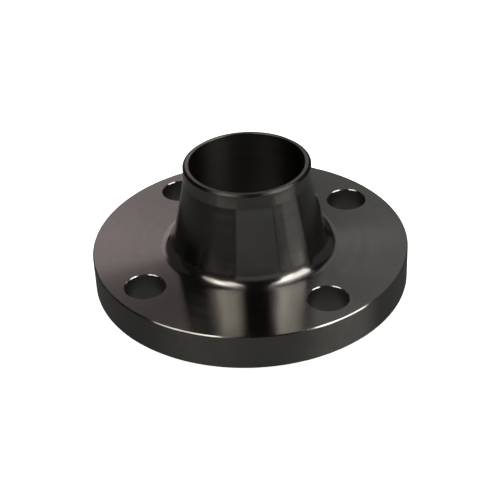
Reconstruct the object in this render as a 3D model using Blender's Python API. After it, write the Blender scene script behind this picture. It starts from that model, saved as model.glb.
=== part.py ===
"""Weld neck flange, 2 inch, class 150, raised face.

One machined forging: a drilled flange ring, a tapered hub that grows out of it through a fillet,
and a short straight pipe end with a weld bevel, all around one straight bore.
The origin is the centre of the raised (gasket) face, and +Z runs along the bore to the weld end.
"""

from math import atan2, cos, pi, radians, sin, tan

import bmesh
import bpy

MM = 0.001

# Flange ring
FLANGE_DIAMETER = 152.4 * MM
FLANGE_THICKNESS = 17.5 * MM  # without the raised face
RAISED_FACE_DIAMETER = 92.1 * MM
RAISED_FACE_HEIGHT = 1.6 * MM
RIM_CHAMFER = 0.5 * MM
RAISED_FACE_CHAMFER = 0.3 * MM

# Bolt holes: they straddle the X and Y centre lines
BOLT_COUNT = 4
BOLT_CIRCLE = 120.65 * MM
BOLT_HOLE_DIAMETER = 19.05 * MM
BOLT_HOLE_CHAMFER = 0.4 * MM
FIRST_BOLT_ANGLE = radians(45)

# Hub and weld end
OVERALL_LENGTH = 63.5 * MM  # raised face to weld end
HUB_BASE_DIAMETER = 75.8 * MM  # where the cone would meet the ring, without its fillet
HUB_FILLET = 6.5 * MM
PIPE_DIAMETER = 60.33 * MM
BORE_DIAMETER = 54.8 * MM
STRAIGHT_LENGTH = 6.4 * MM  # parallel stretch between the cone and the bevel
BEVEL_ANGLE = radians(37.5)  # from the plane of the weld end
LAND_WIDTH = 1.6 * MM
BORE_CHAMFER = 0.5 * MM

# Fineness of the round stretches
BODY_STEPS = 72
FILLET_STEPS = 5
HOLE_STEPS = 36
CUT_OVERSHOOT = 1.0 * MM

STEEL_COLOUR = (0.25, 0.243, 0.228, 1.0)
STEEL_ROUGHNESS = 0.3


def clear_objects():
    for item in list(bpy.data.objects):
        bpy.data.objects.remove(item, do_unlink=True)


def steel():
    material = bpy.data.materials.new("dark_turned_steel")
    material.use_nodes = True
    shader = material.node_tree.nodes["Principled BSDF"]
    shader.inputs["Base Color"].default_value = STEEL_COLOUR
    shader.inputs["Metallic"].default_value = 1.0
    shader.inputs["Roughness"].default_value = STEEL_ROUGHNESS
    return material


def hub_fillet(ring_face, cone_top):
    """Arc of (radius, height) points from the cone down to the ring's face, tangent to both."""
    pipe_radius = PIPE_DIAMETER / 2
    base_radius = HUB_BASE_DIAMETER / 2
    taper = atan2(base_radius - pipe_radius, cone_top - ring_face)
    centre_height = ring_face + HUB_FILLET
    cone_radius = pipe_radius + (cone_top - centre_height) * tan(taper)
    centre_radius = cone_radius + HUB_FILLET / cos(taper)
    points = []
    for step in range(FILLET_STEPS + 1):
        angle = taper + (pi / 2 - taper) * step / FILLET_STEPS
        points.append((centre_radius - HUB_FILLET * cos(angle), centre_height - HUB_FILLET * sin(angle)))
    return points


def body_profile():
    """Closed outline of the ring's cross-section, down the outside, inwards and up the bore."""
    bore = BORE_DIAMETER / 2
    pipe = PIPE_DIAMETER / 2
    rim = FLANGE_DIAMETER / 2
    raised = RAISED_FACE_DIAMETER / 2
    ring_back = RAISED_FACE_HEIGHT
    ring_face = ring_back + FLANGE_THICKNESS
    land_edge = bore + LAND_WIDTH
    bevel_foot = OVERALL_LENGTH - (pipe - land_edge) * tan(BEVEL_ANGLE)
    cone_top = bevel_foot - STRAIGHT_LENGTH
    hub = [(land_edge, OVERALL_LENGTH), (pipe, bevel_foot), (pipe, cone_top)]
    ring = [
        (rim - RIM_CHAMFER, ring_face),
        (rim, ring_face - RIM_CHAMFER),
        (rim, ring_back + RIM_CHAMFER),
        (rim - RIM_CHAMFER, ring_back),
        (raised, ring_back),
        (raised, RAISED_FACE_CHAMFER),
        (raised - RAISED_FACE_CHAMFER, 0.0),
    ]
    inside = [(bore + BORE_CHAMFER, 0.0), (bore, BORE_CHAMFER), (bore, OVERALL_LENGTH)]
    return hub + hub_fillet(ring_face, cone_top) + ring + inside


def add_rings(mesh, outline, centre, steps):
    """Rings of points: an outline of (radius, height) turned about the vertical through centre."""
    rings = []
    for radius, height in outline:
        ring = []
        for step in range(steps):
            angle = 2 * pi * step / steps
            x = centre[0] + radius * cos(angle)
            y = centre[1] + radius * sin(angle)
            ring.append(mesh.verts.new((x, y, height)))
        rings.append(ring)
    return rings


def bridge(mesh, upper, lower):
    """Faces between two rings, facing away from the axis where lower is under upper."""
    steps = len(upper)
    for step in range(steps):
        after = (step + 1) % steps
        mesh.faces.new((upper[step], lower[step], lower[after], upper[after]))


def new_object(name, mesh):
    mesh.normal_update()
    data = bpy.data.meshes.new(name)
    mesh.to_mesh(data)
    mesh.free()
    item = bpy.data.objects.new(name, data)
    bpy.context.collection.objects.link(item)
    return item


def turned_body(name):
    mesh = bmesh.new()
    rings = add_rings(mesh, body_profile(), (0.0, 0.0), BODY_STEPS)
    for index, ring in enumerate(rings):
        bridge(mesh, ring, rings[(index + 1) % len(rings)])
    return new_object(name, mesh)


def bolt_positions():
    for index in range(BOLT_COUNT):
        angle = FIRST_BOLT_ANGLE + 2 * pi * index / BOLT_COUNT
        yield BOLT_CIRCLE / 2 * cos(angle), BOLT_CIRCLE / 2 * sin(angle)


def bolt_hole_cutter(name):
    """Drills with 45 degree flares that break the hole's edge at both faces of the ring."""
    drill = BOLT_HOLE_DIAMETER / 2
    flare = drill + BOLT_HOLE_CHAMFER + CUT_OVERSHOOT
    back = RAISED_FACE_HEIGHT
    front = back + FLANGE_THICKNESS
    outline = [
        (flare, front + CUT_OVERSHOOT),
        (drill, front - BOLT_HOLE_CHAMFER),
        (drill, back + BOLT_HOLE_CHAMFER),
        (flare, back - CUT_OVERSHOOT),
    ]
    mesh = bmesh.new()
    for centre in bolt_positions():
        rings = add_rings(mesh, outline, centre, HOLE_STEPS)
        for upper, lower in zip(rings[:-1], rings[1:]):
            bridge(mesh, upper, lower)
        mesh.faces.new(rings[0])
        mesh.faces.new(reversed(rings[-1]))
    cutter = new_object(name, mesh)
    cutter.hide_render = True
    cutter.display_type = "WIRE"
    return cutter


def drill_through(body, cutter):
    """Cut the holes and keep the result as the body's own mesh."""
    cut = body.modifiers.new("bolt_holes", "BOOLEAN")
    cut.operation = "DIFFERENCE"
    cut.solver = "EXACT"
    cut.object = cutter
    drilled = bpy.data.meshes.new_from_object(body.evaluated_get(bpy.context.evaluated_depsgraph_get()))
    body.modifiers.remove(cut)
    body.data = drilled
    drilled.name = body.name
    bpy.data.objects.remove(cutter, do_unlink=True)


def shade_round(body):
    body.data.shade_smooth()
    body.data.set_sharp_from_angle(angle=radians(25))


def main():
    clear_objects()
    flange = turned_body("flange_forging")
    drill_through(flange, bolt_hole_cutter("bolt_hole_cutter"))
    shade_round(flange)
    flange.data.materials.clear()
    flange.data.materials.append(steel())


main()
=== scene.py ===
"""Looks of the weld neck flange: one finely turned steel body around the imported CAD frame."""
from math import atan2, cos, pi, radians, sin, tan

import bpy
from mathutils import Matrix, Vector


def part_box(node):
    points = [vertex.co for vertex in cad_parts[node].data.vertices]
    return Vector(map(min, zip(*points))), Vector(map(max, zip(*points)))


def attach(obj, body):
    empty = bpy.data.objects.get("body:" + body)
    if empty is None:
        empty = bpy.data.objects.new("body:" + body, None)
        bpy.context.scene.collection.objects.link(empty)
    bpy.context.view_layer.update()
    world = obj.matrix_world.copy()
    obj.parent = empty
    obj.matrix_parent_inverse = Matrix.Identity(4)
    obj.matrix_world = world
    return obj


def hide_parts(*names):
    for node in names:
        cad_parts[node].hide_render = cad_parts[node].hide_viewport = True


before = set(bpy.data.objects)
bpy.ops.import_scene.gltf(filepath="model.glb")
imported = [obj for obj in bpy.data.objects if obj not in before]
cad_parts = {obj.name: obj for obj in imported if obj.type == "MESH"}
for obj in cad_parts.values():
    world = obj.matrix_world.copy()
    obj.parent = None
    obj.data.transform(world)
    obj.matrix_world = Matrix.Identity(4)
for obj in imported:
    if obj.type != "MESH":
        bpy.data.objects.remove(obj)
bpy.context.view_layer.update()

MM = 0.001
NODE = "flange_forging"
low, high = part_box(NODE)

# Shape: the outer sizes come from the frame's box, the rest are the CAD part's driving sizes
RIM_RADIUS = high.x
WELD_END = high.z
RING_BACK = 1.6 * MM
RING_FACE = RING_BACK + 17.5 * MM
RAISED_RADIUS = 46.05 * MM
PIPE_RADIUS = 30.165 * MM
BORE_RADIUS = 27.4 * MM
HUB_BASE_RADIUS = 37.9 * MM
LAND_EDGE = BORE_RADIUS + 1.6 * MM
BEVEL_FOOT = WELD_END - (PIPE_RADIUS - LAND_EDGE) * tan(radians(37.5))
CONE_TOP = BEVEL_FOOT - 6.4 * MM
BOLT_CIRCLE_RADIUS = 60.325 * MM
BOLT_HOLE_RADIUS = 9.525 * MM
BOLT_ANGLES = [radians(45 + 90 * index) for index in range(4)]

# Edges that are broken at 45 degrees
RIM_CHAMFER = 0.5 * MM
BORE_CHAMFER = 0.5 * MM
HOLE_CHAMFER = 0.4 * MM
RAISED_CHAMFER = 0.3 * MM
MOUTH_BREAK = 0.08 * MM

# Radii that round the outlines' corners
HUB_FILLET = 6.5 * MM
CONE_BLEND = 5.0 * MM
RAISED_FOOT_BLEND = 0.5 * MM
BEVEL_BLEND = 0.3 * MM
HOLE_BLEND = 0.3 * MM
RIM_BLEND = 0.15 * MM
SMALL_BLEND = 0.1 * MM
LAND_BLEND = 0.08 * MM
MOUTH_BLEND = 0.03 * MM

# Gasket grooves: each shape point is a share of the pitch and a share of the depth
GROOVE_PITCH = 0.5 * MM
GROOVE_DEPTH = 0.05 * MM
GROOVE_SHAPE = ((0.0, 0.0), (0.25, 0.75), (0.5, 1.0), (0.75, 0.75))

TURN_STEPS = 360
HOLE_STEPS = 96
CUT_OVERSHOOT = 1.0 * MM
SHARP_ANGLE = radians(28)

# Steel: base colours from the brightest finish to the darkest
BRIGHT_TONE = (0.340, 0.330, 0.315)
PLAIN_TONE = (0.250, 0.243, 0.228)
DULL_TONE = (0.090, 0.086, 0.078)
DARKEST_TONE = (0.060, 0.057, 0.052)

# Unevenness of the steel: noise scales in cells per metre, and how far each noise moves the roughness
FILM_SCALE = 38.0
BAND_SCALE = 260.0
SPECK_SCALE = 900.0
FILM_ROUGHNESS = 0.012
BAND_ROUGHNESS = 0.008
SPECK_ROUGHNESS = 0.004
BLOTCH = 0.14  # the colour strays from its tone by this share
FILM_SHARE = 0.75  # of the colour's change, and the bands make the rest
MARK_STRENGTH = 0.15
ACROSS_THE_MARKS = 0.25  # turn of the anisotropy that stretches highlights across the tool marks

# Stage
FLOOR_RADIUS = 2.5
SWEEP_RADIUS = 1.0
SWEEP_STEPS = 12
WALL_HEIGHT = 3.0
WALL_STEPS = 96
FLOOR_COLOUR = (0.8, 0.8, 0.8, 1.0)
FLOOR_ROUGHNESS = 0.6
FLOOR_GLOW = 0.85
WORLD_TONES = ((0.0, 0.10), (0.28, 0.12), (0.40, 0.022), (0.55, 0.02), (1.0, 0.01))

# Lights
LIGHT_DISTANCE = 1.2
NEAR_DISTANCE = 0.8
POWER_PER_AREA = 4  # watts per square metre for a brightness of 1
WHITE = (1.0, 1.0, 1.0)
WARM = (1.0, 0.96, 0.89)
SLIGHTLY_WARM = (1.0, 0.98, 0.93)
PINKISH = (1.0, 0.86, 0.89)

# Camera
CAMERA_AZIMUTH = radians(-79.77)
CAMERA_ELEVATION = radians(34.97)
CAMERA_DISTANCE = 648 * MM
CAMERA_AIM = Vector((-0.2 * MM, 0.0, 13.8 * MM))
CAMERA_ROLL = radians(-2.45)
CAMERA_LENS = 94.6
CAMERA_SENSOR = 36.0


# ---------------------------------------------------------------- turned shapes

def rounded(corners):
    """Closed outline from corners of (radius, height, blend, steps, blend finish, next finish).

    Each corner is rounded by its blend radius. The result lists (radius, height, finish), where a
    finish holds from its point to the next one."""
    points = []
    for index, (radius, height, blend, steps, blend_finish, next_finish) in enumerate(corners):
        if blend == 0:
            points.append((radius, height, next_finish))
            continue
        corner = Vector((radius, height))
        before = (Vector(corners[index - 1][:2]) - corner).normalized()
        after = (Vector(corners[(index + 1) % len(corners)][:2]) - corner).normalized()
        half_angle = before.angle(after) / 2
        centre = corner + (before + after).normalized() * blend / sin(half_angle)
        start = corner + before * blend / tan(half_angle) - centre
        end = corner + after * blend / tan(half_angle) - centre
        turn = atan2(start.x * end.y - start.y * end.x, start.dot(end))
        for step in range(steps + 1):
            spoke = Matrix.Rotation(turn * step / steps, 2) @ start
            finish = next_finish if step == steps else blend_finish
            points.append((centre.x + spoke.x, centre.y + spoke.y, finish))
    return points


def serrated(outer, inner):
    """Concentric gasket grooves cut up into the raised face, from the outer radius to the inner one."""
    count = int((outer - inner) / GROOVE_PITCH) - 1
    margin = (outer - inner - count * GROOVE_PITCH) / 2
    points = []
    for index in range(count):
        start = outer - margin - index * GROOVE_PITCH
        for share, depth in GROOVE_SHAPE:
            points.append((start - share * GROOVE_PITCH, depth * GROOVE_DEPTH, "gasket_face"))
    points.append((inner + margin, 0.0, "gasket_face"))
    return points


def flange_outline():
    """The body's cross-section: down the outside, in along the back and up the bore."""
    outside = [
        (LAND_EDGE, WELD_END, LAND_BLEND, 3, "bevel", "bevel"),
        (PIPE_RADIUS, BEVEL_FOOT, BEVEL_BLEND, 4, "bevel", "hub"),
        (PIPE_RADIUS, CONE_TOP, CONE_BLEND, 6, "hub", "hub"),
        (HUB_BASE_RADIUS, RING_FACE, HUB_FILLET, 28, "fillet", "ring_face"),
        (RIM_RADIUS - RIM_CHAMFER, RING_FACE, RIM_BLEND, 4, "edge", "edge"),
        (RIM_RADIUS, RING_FACE - RIM_CHAMFER, RIM_BLEND, 4, "edge", "rim"),
        (RIM_RADIUS, RING_BACK + RIM_CHAMFER, RIM_BLEND, 4, "edge", "edge"),
        (RIM_RADIUS - RIM_CHAMFER, RING_BACK, RIM_BLEND, 4, "edge", "ring_face"),
        (RAISED_RADIUS, RING_BACK, RAISED_FOOT_BLEND, 6, "ring_face", "ring_face"),
        (RAISED_RADIUS, RAISED_CHAMFER, SMALL_BLEND, 3, "edge", "edge"),
        (RAISED_RADIUS - RAISED_CHAMFER, 0.0, SMALL_BLEND, 3, "edge", "gasket_face"),
    ]
    inside = [
        (BORE_RADIUS + BORE_CHAMFER, 0.0, SMALL_BLEND, 3, "edge", "edge"),
        (BORE_RADIUS, BORE_CHAMFER, SMALL_BLEND, 3, "edge", "bore"),
        (BORE_RADIUS, WELD_END - MOUTH_BREAK, MOUTH_BLEND, 2, "land", "land"),
        (BORE_RADIUS + MOUTH_BREAK, WELD_END, MOUTH_BLEND, 2, "land", "land"),
    ]
    points = rounded(outside + inside)
    flat_start = next(index for index, point in enumerate(points) if point[2] == "gasket_face")
    outer = points[flat_start][0]
    inner = points[flat_start + 1][0]
    return points[:flat_start + 1] + serrated(outer, inner) + points[flat_start + 1:]


def hole_outline():
    """One drill with a flare that breaks the hole's edge at each face of the ring."""
    flare = BOLT_HOLE_RADIUS + HOLE_CHAMFER + CUT_OVERSHOOT
    return rounded([
        (flare, RING_FACE + CUT_OVERSHOOT, 0, 0, "drilled", "edge"),
        (BOLT_HOLE_RADIUS, RING_FACE - HOLE_CHAMFER, HOLE_BLEND, 4, "edge", "drilled"),
        (BOLT_HOLE_RADIUS, RING_BACK + HOLE_CHAMFER, HOLE_BLEND, 4, "edge", "edge"),
        (flare, RING_BACK - CUT_OVERSHOOT, 0, 0, "drilled", "drilled"),
    ])


def ring_points(outline, centre, steps):
    """Points of an outline that is turned about the vertical through centre, one ring after another."""
    turns = [2 * pi * step / steps for step in range(steps)]
    return [
        (centre[0] + radius * cos(turn), centre[1] + radius * sin(turn), height)
        for radius, height, *_ in outline
        for turn in turns
    ]


def band(upper, lower, steps):
    """Faces between two rings, given by the numbers of their first points."""
    faces = []
    for step in range(steps):
        after = (step + 1) % steps
        faces.append((upper + step, lower + step, lower + after, upper + after))
    return faces


def turned_mesh(name, outline, centres, steps, closed, finishes):
    """Mesh of an outline turned about a vertical axis at each centre: closed like a ring, or capped."""
    count = len(outline)
    points, faces, slots = [], [], []
    for centre in centres:
        base = len(points)
        points += ring_points(outline, centre, steps)
        for row in range(count if closed else count - 1):
            faces += band(base + row * steps, base + (row + 1) % count * steps, steps)
            slots += [finishes.index(outline[row][2])] * steps
        if not closed:
            last = base + (count - 1) * steps
            faces.append(tuple(base + step for step in range(steps)))
            faces.append(tuple(last + step for step in reversed(range(steps))))
            slots += [0, 0]
    mesh = bpy.data.meshes.new(name)
    mesh.from_pydata(points, [], faces)
    mesh.polygons.foreach_set("material_index", slots)
    item = bpy.data.objects.new(name, mesh)
    bpy.context.scene.collection.objects.link(item)
    return item


def bake_modifiers(item):
    evaluated = item.evaluated_get(bpy.context.evaluated_depsgraph_get())
    mesh = bpy.data.meshes.new_from_object(evaluated)
    item.modifiers.clear()
    item.data = mesh
    mesh.name = item.name


def flange_body(materials):
    """The turned body with its four holes cut, as one closed mesh with a material for each finish."""
    finishes = list(materials)
    body = turned_mesh("flange_body", flange_outline(), [(0.0, 0.0)], TURN_STEPS, True, finishes)
    centres = [
        (BOLT_CIRCLE_RADIUS * cos(angle), BOLT_CIRCLE_RADIUS * sin(angle))
        for angle in BOLT_ANGLES
    ]
    drills = turned_mesh("drills", hole_outline(), centres, HOLE_STEPS, False, finishes)
    for item in (body, drills):
        for material in materials.values():
            item.data.materials.append(material)
    cut = body.modifiers.new("bolt_holes", "BOOLEAN")
    cut.operation = "DIFFERENCE"
    cut.solver = "EXACT"
    cut.object = drills
    bake_modifiers(body)
    bpy.data.objects.remove(drills, do_unlink=True)
    body.data.shade_smooth()
    body.data.set_sharp_from_angle(angle=SHARP_ANGLE)
    weighted = body.modifiers.new("flat_faces_stay_flat", "WEIGHTED_NORMAL")
    weighted.keep_sharp = True
    bake_modifiers(body)
    return body


# ---------------------------------------------------------------- materials

class Nodes:
    """Short calls for building one material's node tree."""

    def __init__(self, name):
        self.material = bpy.data.materials.new(name)
        self.material.use_nodes = True
        self.tree = self.material.node_tree
        self.shader = self.tree.nodes["Principled BSDF"]

    def add(self, kind, **settings):
        node = self.tree.nodes.new(kind)
        for key, value in settings.items():
            setattr(node, key, value)
        return node

    def put(self, socket, value):
        if isinstance(value, bpy.types.NodeSocket):
            self.tree.links.new(value, socket)
        else:
            socket.default_value = value

    def maths(self, operation, first, second=0.0):
        node = self.add("ShaderNodeMath", operation=operation)
        self.put(node.inputs[0], first)
        self.put(node.inputs[1], second)
        return node.outputs[0]

    def noise(self, along, scale, detail, roughness=0.5, dimensions="1D"):
        node = self.add("ShaderNodeTexNoise", noise_dimensions=dimensions)
        self.put(node.inputs["W" if dimensions == "1D" else "Vector"], along)
        node.inputs["Scale"].default_value = scale
        node.inputs["Detail"].default_value = detail
        node.inputs["Roughness"].default_value = roughness
        return node.outputs["Fac"]

    def spread(self, value, low_end, high_end):
        """Stretch the useful middle of a noise value to low_end..high_end."""
        node = self.add("ShaderNodeMapRange")
        for socket, number in zip(node.inputs, (value, 0.3, 0.7, low_end, high_end)):
            self.put(socket, number)
        return node.outputs[0]

    def mix(self, factor, first, second):
        node = self.add("ShaderNodeMix", data_type="RGBA")
        self.put(node.inputs[0], factor)
        self.put(node.inputs[6], first)
        self.put(node.inputs[7], second)
        return node.outputs[2]


def marks_run(nodes, place, along):
    """What the tool marks are counted over: the radius on a flat face, or the height on a wall."""
    parts = nodes.add("ShaderNodeSeparateXYZ")
    nodes.put(parts.inputs[0], place)
    x, y, z = parts.outputs
    if along == "height":
        return z
    square = nodes.maths("ADD", nodes.maths("MULTIPLY", x, x), nodes.maths("MULTIPLY", y, y))
    return nodes.maths("SQRT", square)


def steel(name, tone, roughness, anisotropy, feed, mark_depth, along):
    """Machined steel whose tool marks of the given feed and depth run round the axis."""
    nodes = Nodes(name)
    place = nodes.add("ShaderNodeTexCoord").outputs["Object"]
    run = marks_run(nodes, place, along)
    marks = nodes.noise(run, 1 / feed, detail=1.0)
    bands = nodes.noise(run, BAND_SCALE, detail=3.0, roughness=0.6)
    film = nodes.noise(place, FILM_SCALE, detail=5.0, roughness=0.62, dimensions="3D")
    specks = nodes.noise(place, SPECK_SCALE, detail=3.0, roughness=0.7, dimensions="3D")

    dark = tuple(channel * (1 - BLOTCH) for channel in tone)
    light = tuple(channel * (1 + BLOTCH) for channel in tone)
    film_change = nodes.maths("MULTIPLY", nodes.spread(film, 0.0, 1.0), FILM_SHARE)
    band_change = nodes.maths("MULTIPLY", nodes.spread(bands, 0.0, 1.0), 1 - FILM_SHARE)
    colour = nodes.mix(nodes.maths("ADD", film_change, band_change), (*dark, 1.0), (*light, 1.0))
    nodes.put(nodes.shader.inputs["Base Color"], colour)
    nodes.shader.inputs["Metallic"].default_value = 1.0

    uneven = nodes.maths("ADD", nodes.spread(film, -FILM_ROUGHNESS, FILM_ROUGHNESS),
                         nodes.spread(bands, -BAND_ROUGHNESS, BAND_ROUGHNESS))
    uneven = nodes.maths("ADD", uneven, nodes.spread(specks, -SPECK_ROUGHNESS, SPECK_ROUGHNESS))
    nodes.put(nodes.shader.inputs["Roughness"], nodes.maths("ADD", uneven, roughness))
    nodes.shader.inputs["Anisotropic"].default_value = anisotropy
    nodes.shader.inputs["Anisotropic Rotation"].default_value = ACROSS_THE_MARKS
    tangent = nodes.add("ShaderNodeTangent", direction_type="RADIAL", axis="Z")
    nodes.put(nodes.shader.inputs["Tangent"], tangent.outputs[0])

    bump = nodes.add("ShaderNodeBump")
    bump.inputs["Strength"].default_value = MARK_STRENGTH
    bump.inputs["Distance"].default_value = mark_depth
    nodes.put(bump.inputs["Height"], marks)
    nodes.put(nodes.shader.inputs["Normal"], bump.outputs[0])
    return nodes.material


def all_materials():
    """One material for each finish: tone, roughness, anisotropy, and the marks' feed, depth and run."""
    return {
        "ring_face": steel("turned_ring_face", PLAIN_TONE, 0.20, 1.0, 0.25 * MM, 0.0002 * MM, "radius"),
        "fillet": steel("turned_fillet", PLAIN_TONE, 0.18, 0.9, 0.25 * MM, 0.0003 * MM, "height"),
        "hub": steel("turned_hub", PLAIN_TONE, 0.17, 1.0, 0.25 * MM, 0.0003 * MM, "height"),
        "rim": steel("turned_rim", PLAIN_TONE, 0.28, 1.0, 0.30 * MM, 0.0005 * MM, "height"),
        "edge": steel("broken_edge", BRIGHT_TONE, 0.15, 0.6, 0.20 * MM, 0.0002 * MM, "height"),
        "bevel": steel("weld_bevel", DARKEST_TONE, 0.34, 0.7, 0.20 * MM, 0.0003 * MM, "radius"),
        "land": steel("weld_land", PLAIN_TONE, 0.30, 0.5, 0.20 * MM, 0.0003 * MM, "radius"),
        "bore": steel("bored_wall", DULL_TONE, 0.38, 0.8, 0.35 * MM, 0.0003 * MM, "height"),
        "gasket_face": steel("gasket_face", PLAIN_TONE, 0.32, 0.6, 0.20 * MM, 0.0003 * MM, "radius"),
        "drilled": steel("drilled_wall", PLAIN_TONE, 0.36, 0.0, 0.40 * MM, 0.0010 * MM, "height"),
    }


# ---------------------------------------------------------------- stage

def floor_material():
    material = bpy.data.materials.new("pale_floor")
    material.use_nodes = True
    shader = material.node_tree.nodes["Principled BSDF"]
    shader.inputs["Base Color"].default_value = FLOOR_COLOUR
    shader.inputs["Roughness"].default_value = FLOOR_ROUGHNESS
    shader.inputs["Emission Color"].default_value = (*WHITE, 1.0)
    shader.inputs["Emission Strength"].default_value = FLOOR_GLOW
    return material


def add_floor():
    """Pale glowing sweep: a flat floor that curves up into a wall all round. The steel doesn't mirror it,
    so that it stays as dark as in a shot that is cut out on white."""
    profile = [(FLOOR_RADIUS, 0.0)]
    for step in range(1, SWEEP_STEPS + 1):
        turn = pi / 2 * step / SWEEP_STEPS
        profile.append((FLOOR_RADIUS + SWEEP_RADIUS * sin(turn), SWEEP_RADIUS * (1 - cos(turn))))
    profile.append((FLOOR_RADIUS + SWEEP_RADIUS, WALL_HEIGHT))
    faces = []
    for row in range(len(profile) - 1):
        faces += band(row * WALL_STEPS, (row + 1) * WALL_STEPS, WALL_STEPS)
    faces.append(tuple(range(WALL_STEPS)))
    mesh = bpy.data.meshes.new("floor")
    mesh.from_pydata(ring_points(profile, (0.0, 0.0), WALL_STEPS), [], faces)
    mesh.materials.append(floor_material())
    floor = bpy.data.objects.new("floor", mesh)
    bpy.context.scene.collection.objects.link(floor)
    floor.location.z = low.z
    floor.visible_glossy = False
    floor.visible_shadow = False


def direction(azimuth, elevation):
    return Vector((cos(elevation) * cos(azimuth), cos(elevation) * sin(azimuth), sin(elevation)))


def softbox(name, off_camera, elevation, width, height, brightness, colour=WHITE, roll=0.0,
            distance=LIGHT_DISTANCE):
    """Area light facing the flange. off_camera is its azimuth in degrees to the right of the camera, and
    width and height are the angles in degrees that it fills as the flange sees it."""
    light = bpy.data.lights.new(name, "AREA")
    light.shape = "RECTANGLE"
    light.size = 2 * distance * tan(radians(width) / 2)
    light.size_y = 2 * distance * tan(radians(height) / 2)
    light.energy = brightness * POWER_PER_AREA * light.size * light.size_y
    light.color = colour
    item = bpy.data.objects.new(name, light)
    bpy.context.scene.collection.objects.link(item)
    towards = direction(CAMERA_AZIMUTH + radians(off_camera), radians(elevation))
    place = Matrix.Translation(CAMERA_AIM + towards * distance)
    facing = towards.to_track_quat("Z", "Y").to_matrix().to_4x4()
    item.matrix_world = place @ facing @ Matrix.Rotation(radians(roll), 4, "Z")


def add_lights():
    """Softboxes for the highlights, and dim cards near the horizon for the hub and the rim."""
    softbox("left_softbox", -45, 56, 24, 25, 2.7, WARM)
    softbox("left_side_softbox", -66, 50, 15, 28, 1.7, WARM)
    softbox("high_left_softbox", -66, 75, 9, 16, 0.85)
    softbox("high_back_softbox", 100, 72, 9, 16, 0.6)
    softbox("right_softbox", 72, 46, 32, 36, 2.9, SLIGHTLY_WARM, roll=-30)
    softbox("right_edge_softbox", 57, 50, 7, 42, 2.2, SLIGHTLY_WARM)
    softbox("back_left_softbox", -164, 20, 24, 32, 0.6, PINKISH, distance=NEAR_DISTANCE)
    softbox("back_right_softbox", 165, 32, 20, 30, 0.26)
    softbox("high_right_softbox", 118, 62, 20, 20, 0.25)
    softbox("front_card", 9, 9, 60, 42, 0.115)
    softbox("front_right_card", 62, 9, 44, 38, 0.09)
    softbox("right_card", 72, -16, 30, 24, 0.12)
    softbox("back_right_card", 118, 14, 50, 50, 0.055)
    softbox("back_left_card", -128, 22, 40, 50, 0.03)


def add_world():
    """Dim grey surroundings. Each of WORLD_TONES is a share of the way up, and the grey at that height."""
    world = bpy.data.worlds.new("studio")
    bpy.context.scene.world = world
    world.use_nodes = True
    tree = world.node_tree
    place = tree.nodes.new("ShaderNodeTexCoord")
    parts = tree.nodes.new("ShaderNodeSeparateXYZ")
    tree.links.new(place.outputs["Generated"], parts.inputs[0])
    share_up = tree.nodes.new("ShaderNodeMapRange")
    share_up.inputs["From Min"].default_value = -1.0
    tree.links.new(parts.outputs["Z"], share_up.inputs["Value"])
    ramp = tree.nodes.new("ShaderNodeValToRGB")
    tree.links.new(share_up.outputs[0], ramp.inputs[0])
    tree.links.new(ramp.outputs[0], tree.nodes["Background"].inputs["Color"])
    elements = ramp.color_ramp.elements
    elements[0].position, elements[1].position = WORLD_TONES[0][0], WORLD_TONES[-1][0]
    for share, _ in WORLD_TONES[1:-1]:
        elements.new(share)
    for element, (_, tone) in zip(elements, WORLD_TONES):
        element.color = (tone, tone, tone, 1.0)


def add_camera():
    camera = bpy.data.cameras.new("camera")
    camera.lens = CAMERA_LENS
    camera.sensor_width = CAMERA_SENSOR
    item = bpy.data.objects.new("camera", camera)
    bpy.context.scene.collection.objects.link(item)
    place = Vector((0.0, 0.0, RING_BACK)) + direction(CAMERA_AZIMUTH, CAMERA_ELEVATION) * CAMERA_DISTANCE
    aim = (place - CAMERA_AIM).to_track_quat("Z", "Y").to_matrix().to_4x4()
    item.matrix_world = Matrix.Translation(place) @ aim @ Matrix.Rotation(CAMERA_ROLL, 4, "Z")
    bpy.context.scene.camera = item


# ---------------------------------------------------------------- build

add_camera()
add_floor()
add_lights()
add_world()
bpy.context.scene.view_settings.view_transform = "Standard"
flange = flange_body(all_materials())
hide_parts(NODE)
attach(flange, "root")
